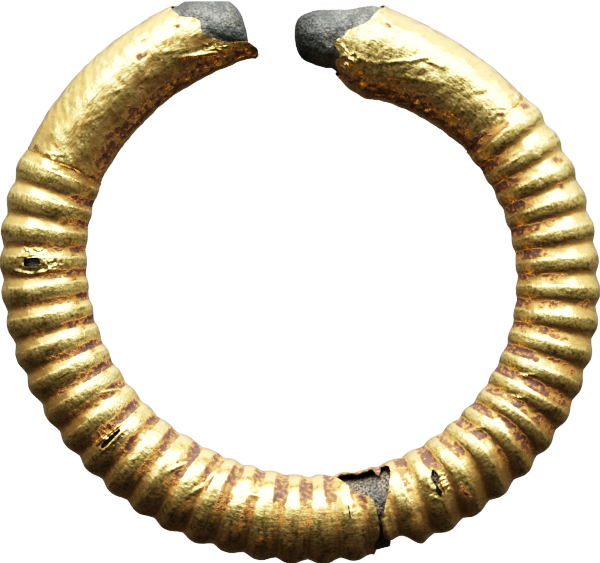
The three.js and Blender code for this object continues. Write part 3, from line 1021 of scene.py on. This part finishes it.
left_sleeve = plain_sleeve(
    "left_foil", LEFT_EDGE, LEFT_FOLDS, LEFT_DENTS, LEFT_STAINS,
    meets=RIBS_START + TUCK, seam=152, counts=(84, 92), top_wear=0.3, seed=71,
)
right_sleeve = plain_sleeve(
    "right_foil", RIGHT_EDGE, RIGHT_FOLDS, RIGHT_DENTS, RIGHT_STAINS,
    meets=RIBS_END - TUCK, seam=-120, counts=(72, 92), top_wear=0.7, seed=73,
)
for sleeve in (left_sleeve, right_sleeve):
    print(sleeve.name, len(sleeve.data.polygons), "faces")

# %% [markdown]
# ## The bronze core
# The rod is rough from casting and corrosion. It shows at both ends and in the tear, so it is
# fine there and coarse where the foil hides it. It is rolled from a grid as the foils are, and
# both ends are drawn together and closed.

# %% Roll the core
CORE_SIDES = 120
# Stretches along the hoop: start, end, and number of columns.
CORE_STRETCHES = [
    (0.0, 3.4, 64), (3.4, 38.2, 70), (38.2, 42.6, 84), (42.6, 43.4, 3), (43.4, 44.7, 20),
    (44.7, 71.8, 54), (71.8, 76.24, 90),
]
# Along the hoop: from near black (0) to grey (0.5) and to a coarse pale grey (1).
CORE_PALENESS = [
    [0.0, 0.2], [0.8, 0.36], [3.0, 0.3], [38.0, 1.0], [44.0, 1.0], [72.2, 0.58], [73.8, 0.52],
    [74.8, 0.3], [75.6, 0.1], [76.3, 0.0],
]
# Both ends: place along the hoop, and the largest radius there.
LEFT_CAP = [[0.0, 0.0], [0.02, 0.35], [0.05, 0.72], [0.1, 0.95], [0.2, 1.18]]
RIGHT_CAP = [[76.1, 0.9], [76.18, 0.62], [76.22, 0.36], [76.24, 0.0]]
# How much deeper the core lies under the foil, beside the crack and under the rim.
COVERED_DEEPER = 0.11
CORE_HOLLOW = 0.62
UNDER_RIM = 0.16
# Its roughness: height and width of the hills, and their seed.
CORE_ROUGHNESS = [(0.03, 0.55, 81), (0.02, 0.22, 82), (0.009, 0.1, 83)]


def core_radius(along, degrees, round_mm):
    """Radius of the core: below the foil where it is covered, full where it is bare."""
    turned = wrapped(degrees, -60)
    left_bare = step(curve_through(LEFT_EDGE, 1, turned) - along, 0.1, 0.7)
    right_bare = step(along - curve_through(RIGHT_EDGE, 1, turned), 0.1, 0.7)
    end_bare = np.maximum(left_bare, right_bare)
    bare = np.maximum(end_bare, mound(along, 40.7, 2.4))
    radius = curve_through(TUBE, 1, along) - (CORE_INSET - COVERED_DEEPER * end_bare)
    in_left_cap, in_right_cap = along < LEFT_CAP[-1][0], along > RIGHT_CAP[0][0]
    for cap, inside in ((LEFT_CAP, in_left_cap), (RIGHT_CAP, in_right_cap)):
        radius = np.where(inside, np.minimum(radius, curve_through(cap, 1, along)), radius)
    pressed = plateau(along, 40.85, 41.1, 41.6, 42.4)
    hollow = CORE_HOLLOW * pressed * mound(wrapped(degrees, -180), SUNK_MIDDLE, 80)
    under_rim = UNDER_RIM * mound(along, 40.3, 2.2) * mound(turned, 162, 18)
    rough = sum(
        height * noise(along / across, round_mm / across, seed)
        for height, across, seed in CORE_ROUGHNESS
    )
    rough *= step(radius, 0, 0.8) * (0.25 + 0.75 * bare)
    return np.maximum(radius - hollow - under_rim + rough, 0)


def bronze_core():
    """The whole rod, rolled from a grid, with both ends closed."""
    places = np.concatenate(
        [np.linspace(start, end, count, endpoint=False) for start, end, count in CORE_STRETCHES]
        + [[CORE_STRETCHES[-1][1]]]
    )
    columns = len(places) - 1

    def along_at(share, degrees):
        return places[np.rint(share * columns).astype(int)]

    rod = flat_sheet("bronze_rod", columns, CORE_SIDES, along_at, -180, 180)
    along, round_mm, _ = coordinates(rod).T
    degrees = round_mm / MM_PER_DEGREE
    write_maps(rod, along, round_mm, along * 0, {"pale": curve_through(CORE_PALENESS, 1, along)})
    # The last row lies on the first one, so that the seam closes.
    closed = np.where(degrees > 179.9, -180, degrees)
    radius = core_radius(along, closed, closed * MM_PER_DEGREE)
    points = on_tube(along, closed, radius, curve_through(TUBE, 2, along))
    set_coordinates(rod, within_frame(points))
    select_only(rod)
    bpy.ops.object.mode_set(mode="EDIT")
    bpy.ops.mesh.select_all(action="SELECT")
    bpy.ops.mesh.remove_doubles(threshold=1e-7)
    bpy.ops.mesh.normals_make_consistent(inside=False)
    bpy.ops.object.mode_set(mode="OBJECT")
    return rod


core = bronze_core()
print("core:", len(core.data.polygons), "faces")

# %% [markdown]
# ## Beaten gold foil
# Old gold of this kind is a pale yellow, with silver in it. It was burnished over the core, so
# the flanks of the ribs are smooth and hold soft, nearly white reflections. The crests, and the
# upper side of the sleeves, are worn dull: olive, finely grained and flecked with dark. The same
# dull olive is laid on the sides of the ribs turned from the light, as painted shade. Fine
# scratches run over them at a slant. Deposits lie as a rough purple-brown crust, and thin films
# of them stain the gold round them orange. The crust and film colours also paint shade into the
# groove bottoms, the crevice at each sleeve's end and the rib fronts low on the outer side.


# %% Node shorthand for patterns and blends
def noise_pattern(tree, vector, scale, detail):
    """A noise pattern with features of about 1/scale mm."""
    settings = {"Scale": scale, "Detail": detail}
    return add_node(tree, "ShaderNodeTexNoise", settings, {"Vector": vector}).outputs[0]


def spread(tree, value, low, high, at_low=0.0, at_high=1.0):
    """Runs from one value to another as the input goes from low to high, softly."""
    settings = {"interpolation_type": "SMOOTHSTEP", 1: low, 2: high, 3: at_low, 4: at_high}
    return add_node(tree, "ShaderNodeMapRange", settings, {0: value}).outputs[0]


def combined(tree, operation, first, second):
    """Two values added or multiplied."""
    links = {0: first, 1: second}
    return add_node(tree, "ShaderNodeMath", {"operation": operation}, links).outputs[0]


def product(tree, first, second):
    return combined(tree, "MULTIPLY", first, second)


def stored_map(tree, name):
    """One of the maps that are stored on the piece."""
    return add_node(tree, "ShaderNodeAttribute", {"attribute_name": name}).outputs["Fac"]


def mapped(tree, vector, scale, degrees=0):
    """Coordinates that are scaled and turned."""
    settings = {"Scale": scale, "Rotation": (0, 0, math.radians(degrees))}
    return add_node(tree, "ShaderNodeMapping", settings, {"Vector": vector}).outputs[0]


def blend(tree, share, first, second):
    """Mixes two colours, each a hex code or the output of a node."""
    settings, links = {"data_type": "RGBA"}, {0: share}
    for socket, shade in ((6, first), (7, second)):
        if isinstance(shade, str):
            settings[socket] = colour(shade)
        else:
            links[socket] = shade
    return add_node(tree, "ShaderNodeMix", settings, links).outputs[2]


def bumped(tree, height, distance_mm, normal=None):
    """A fine relief. `distance_mm` is how far the pattern's 0 to 1 reaches."""
    links = {"Height": height}
    if normal is not None:
        links["Normal"] = normal
    settings = {"Strength": 1.0, "Distance": distance_mm * MM}
    return add_node(tree, "ShaderNodeBump", settings, links).outputs[0]


# %% Material of the foils
SCRATCH_SLANT = -55
# The crust begins where the dirt is thicker than this.
CRUST_FROM = 0.42
SCRATCH_HEIGHT, GRAIN_HEIGHT, FLECK_HEIGHT, CRUST_HEIGHT = 0.045, 0.03, 0.026, 0.05


def gold_foil(name, film_tone, thin_earth):
    """Gold with its wear and dirt, from the two stored maps, which also carry painted shade.
    `film_tone` is the colour of a thin film of dirt on the gold, and `thin_earth` that of the crust
    where it is thin."""
    material, tree, shader = new_material(name)
    flat = add_node(tree, "ShaderNodeUVMap", {"uv_map": "sheet"}).outputs[0]
    in_mm = mapped(tree, flat, (SHEET_SPAN, SHEET_SPAN, SHEET_SPAN))
    slanted = mapped(tree, in_mm, (1.3, 6.0, 1.0), SCRATCH_SLANT)
    round_tube = mapped(tree, in_mm, (1.0, 0.3, 1.0))
    wear_and_shade, dirt_and_shade = stored_map(tree, "wear_and_shade"), stored_map(tree, "dirt_and_shade")

    clouds = noise_pattern(tree, in_mm, 0.8, 3.0)
    flecks = noise_pattern(tree, in_mm, 6.0, 5.0)
    grain = noise_pattern(tree, in_mm, 8.0, 3.0)
    scratches = noise_pattern(tree, slanted, 1.0, 4.0)
    streaks = noise_pattern(tree, round_tube, 3.5, 3.0)
    crumbs = noise_pattern(tree, in_mm, 4.5, 4.0)
    hues = noise_pattern(tree, in_mm, 1.1, 2.0)

    burnished = blend(tree, clouds, "#fbd18e", "#ebc47b")
    mottle = combined(tree, "ADD", flecks, streaks)
    olive = blend(tree, spread(tree, mottle, 0.7, 1.14), "#9c8e54", "#eed695")
    # Olive is blended in by the map of wear and painted shade.
    gold = blend(tree, spread(tree, wear_and_shade, 0.1, 0.9), burnished, olive)

    uneven = spread(tree, crumbs, 0.3, 0.7, 0.5, 1.5)
    # The map of dirt also carries painted shade, and so do the crust and film made from it.
    laid = product(tree, dirt_and_shade, uneven)
    crust_and_shade = spread(tree, laid, CRUST_FROM, CRUST_FROM + 0.22)
    film_and_shade = spread(tree, laid, CRUST_FROM - 0.3, CRUST_FROM + 0.04)
    stained = blend(tree, film_and_shade, gold, film_tone)
    body = combined(tree, "ADD", laid, hues)
    warm = blend(tree, spread(tree, body, 0.95, 1.3), thin_earth, "#845f43")
    earths = blend(tree, spread(tree, body, 1.3, 1.6), warm, "#6b5149")
    base = blend(tree, crust_and_shade, stained, earths)

    polish = spread(tree, wear_and_shade, 0.1, 0.9, 0.17, 0.32)
    rough = add_node(tree, "ShaderNodeMix", {"data_type": "FLOAT", 3: 0.5}, {0: film_and_shade, 2: polish})
    metal = spread(tree, laid, CRUST_FROM - 0.3, CRUST_FROM + 0.2, 0.9, 0.1)

    wear = spread(tree, wear_and_shade, 0.0, 1.0, 0.15, 0.8)
    relief = bumped(tree, product(tree, scratches, wear), SCRATCH_HEIGHT)
    relief = bumped(tree, product(tree, grain, wear), GRAIN_HEIGHT, relief)
    relief = bumped(tree, product(tree, flecks, wear), FLECK_HEIGHT, relief)
    relief = bumped(tree, product(tree, crust_and_shade, crumbs), CRUST_HEIGHT, relief)
    links = {"Base Color": base, "Metallic": metal, "Normal": relief}
    set_node(tree, shader, links={**links, "Roughness": rough.outputs[0]})
    return material


ribbed_gold = gold_foil("beaten_gold_foil_ribbed", "#c8955a", "#c0905c")
plain_gold = gold_foil("beaten_gold_foil_plain", "#a5875c", "#7a5a42")

# %% [markdown]
# ## Corroded bronze
# The core is cast bronze, dull grey to near black from corrosion, with a faint green tint,
# brown flecks and a fine pitted grain that glints a little.


# %% Material of the core
PIT_DEPTH = 0.05


def corroded_bronze():
    """Grey to near black, from the map `pale`."""
    material, tree, shader = new_material("corroded_cast_bronze")
    place = add_node(tree, "ShaderNodeTexCoord").outputs["Object"]
    in_mm = mapped(tree, place, (1 / MM, 1 / MM, 1 / MM))
    speckle = noise_pattern(tree, in_mm, 9.0, 6.0)
    patches = noise_pattern(tree, in_mm, 0.9, 4.0)
    flecks = noise_pattern(tree, in_mm, 3.2, 5.0)
    pale = stored_map(tree, "pale")
    dark = blend(tree, spread(tree, speckle, 0.34, 0.7), "#282928", "#565a58")
    grey = blend(tree, spread(tree, speckle, 0.36, 0.66), "#5a5b57", "#8b8b83")
    coarse = blend(tree, spread(tree, speckle, 0.38, 0.62), "#2e2822", "#8e8473")
    greys = blend(tree, spread(tree, pale, 0.0, 0.5), dark, grey)
    greys = blend(tree, spread(tree, pale, 0.6, 0.9), greys, coarse)
    tinted = blend(tree, spread(tree, patches, 0.46, 0.62, 0.0, 0.6), greys, "#454b49")
    base = blend(tree, spread(tree, flecks, 0.58, 0.72, 0.0, 0.7), tinted, "#6b5343")
    pits = bumped(tree, speckle, PIT_DEPTH)
    pits = bumped(tree, flecks, PIT_DEPTH, pits)
    settings = {"Metallic": 0.3, "Roughness": 0.42}
    set_node(tree, shader, settings, {"Base Color": base, "Normal": pits})
    return material


# %% Dress the pieces and hang them on the frame
DRESSED = [
    (sheath, ribbed_gold, "ribbed_foil_sheath", "gold_foil_ribbed"),
    (left_sleeve, plain_gold, "plain_foil_sleeve_left", "gold_foil_plain"),
    (right_sleeve, plain_gold, "plain_foil_sleeve_right", "gold_foil_plain"),
    (core, corroded_bronze(), "bronze_core", "corroded_bronze"),
]
for piece, material, node, slot in DRESSED:
    select_only(piece)
    bpy.ops.object.shade_smooth_by_angle(angle=math.radians(50))
    piece.data.materials.clear()
    piece.data.materials.append(material)
    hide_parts(node)
    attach(piece, "root")
    triangles = sum(len(face.vertices) - 2 for face in piece.data.polygons)
    print(piece.name, "stands for", node, "with", triangles, "triangles")
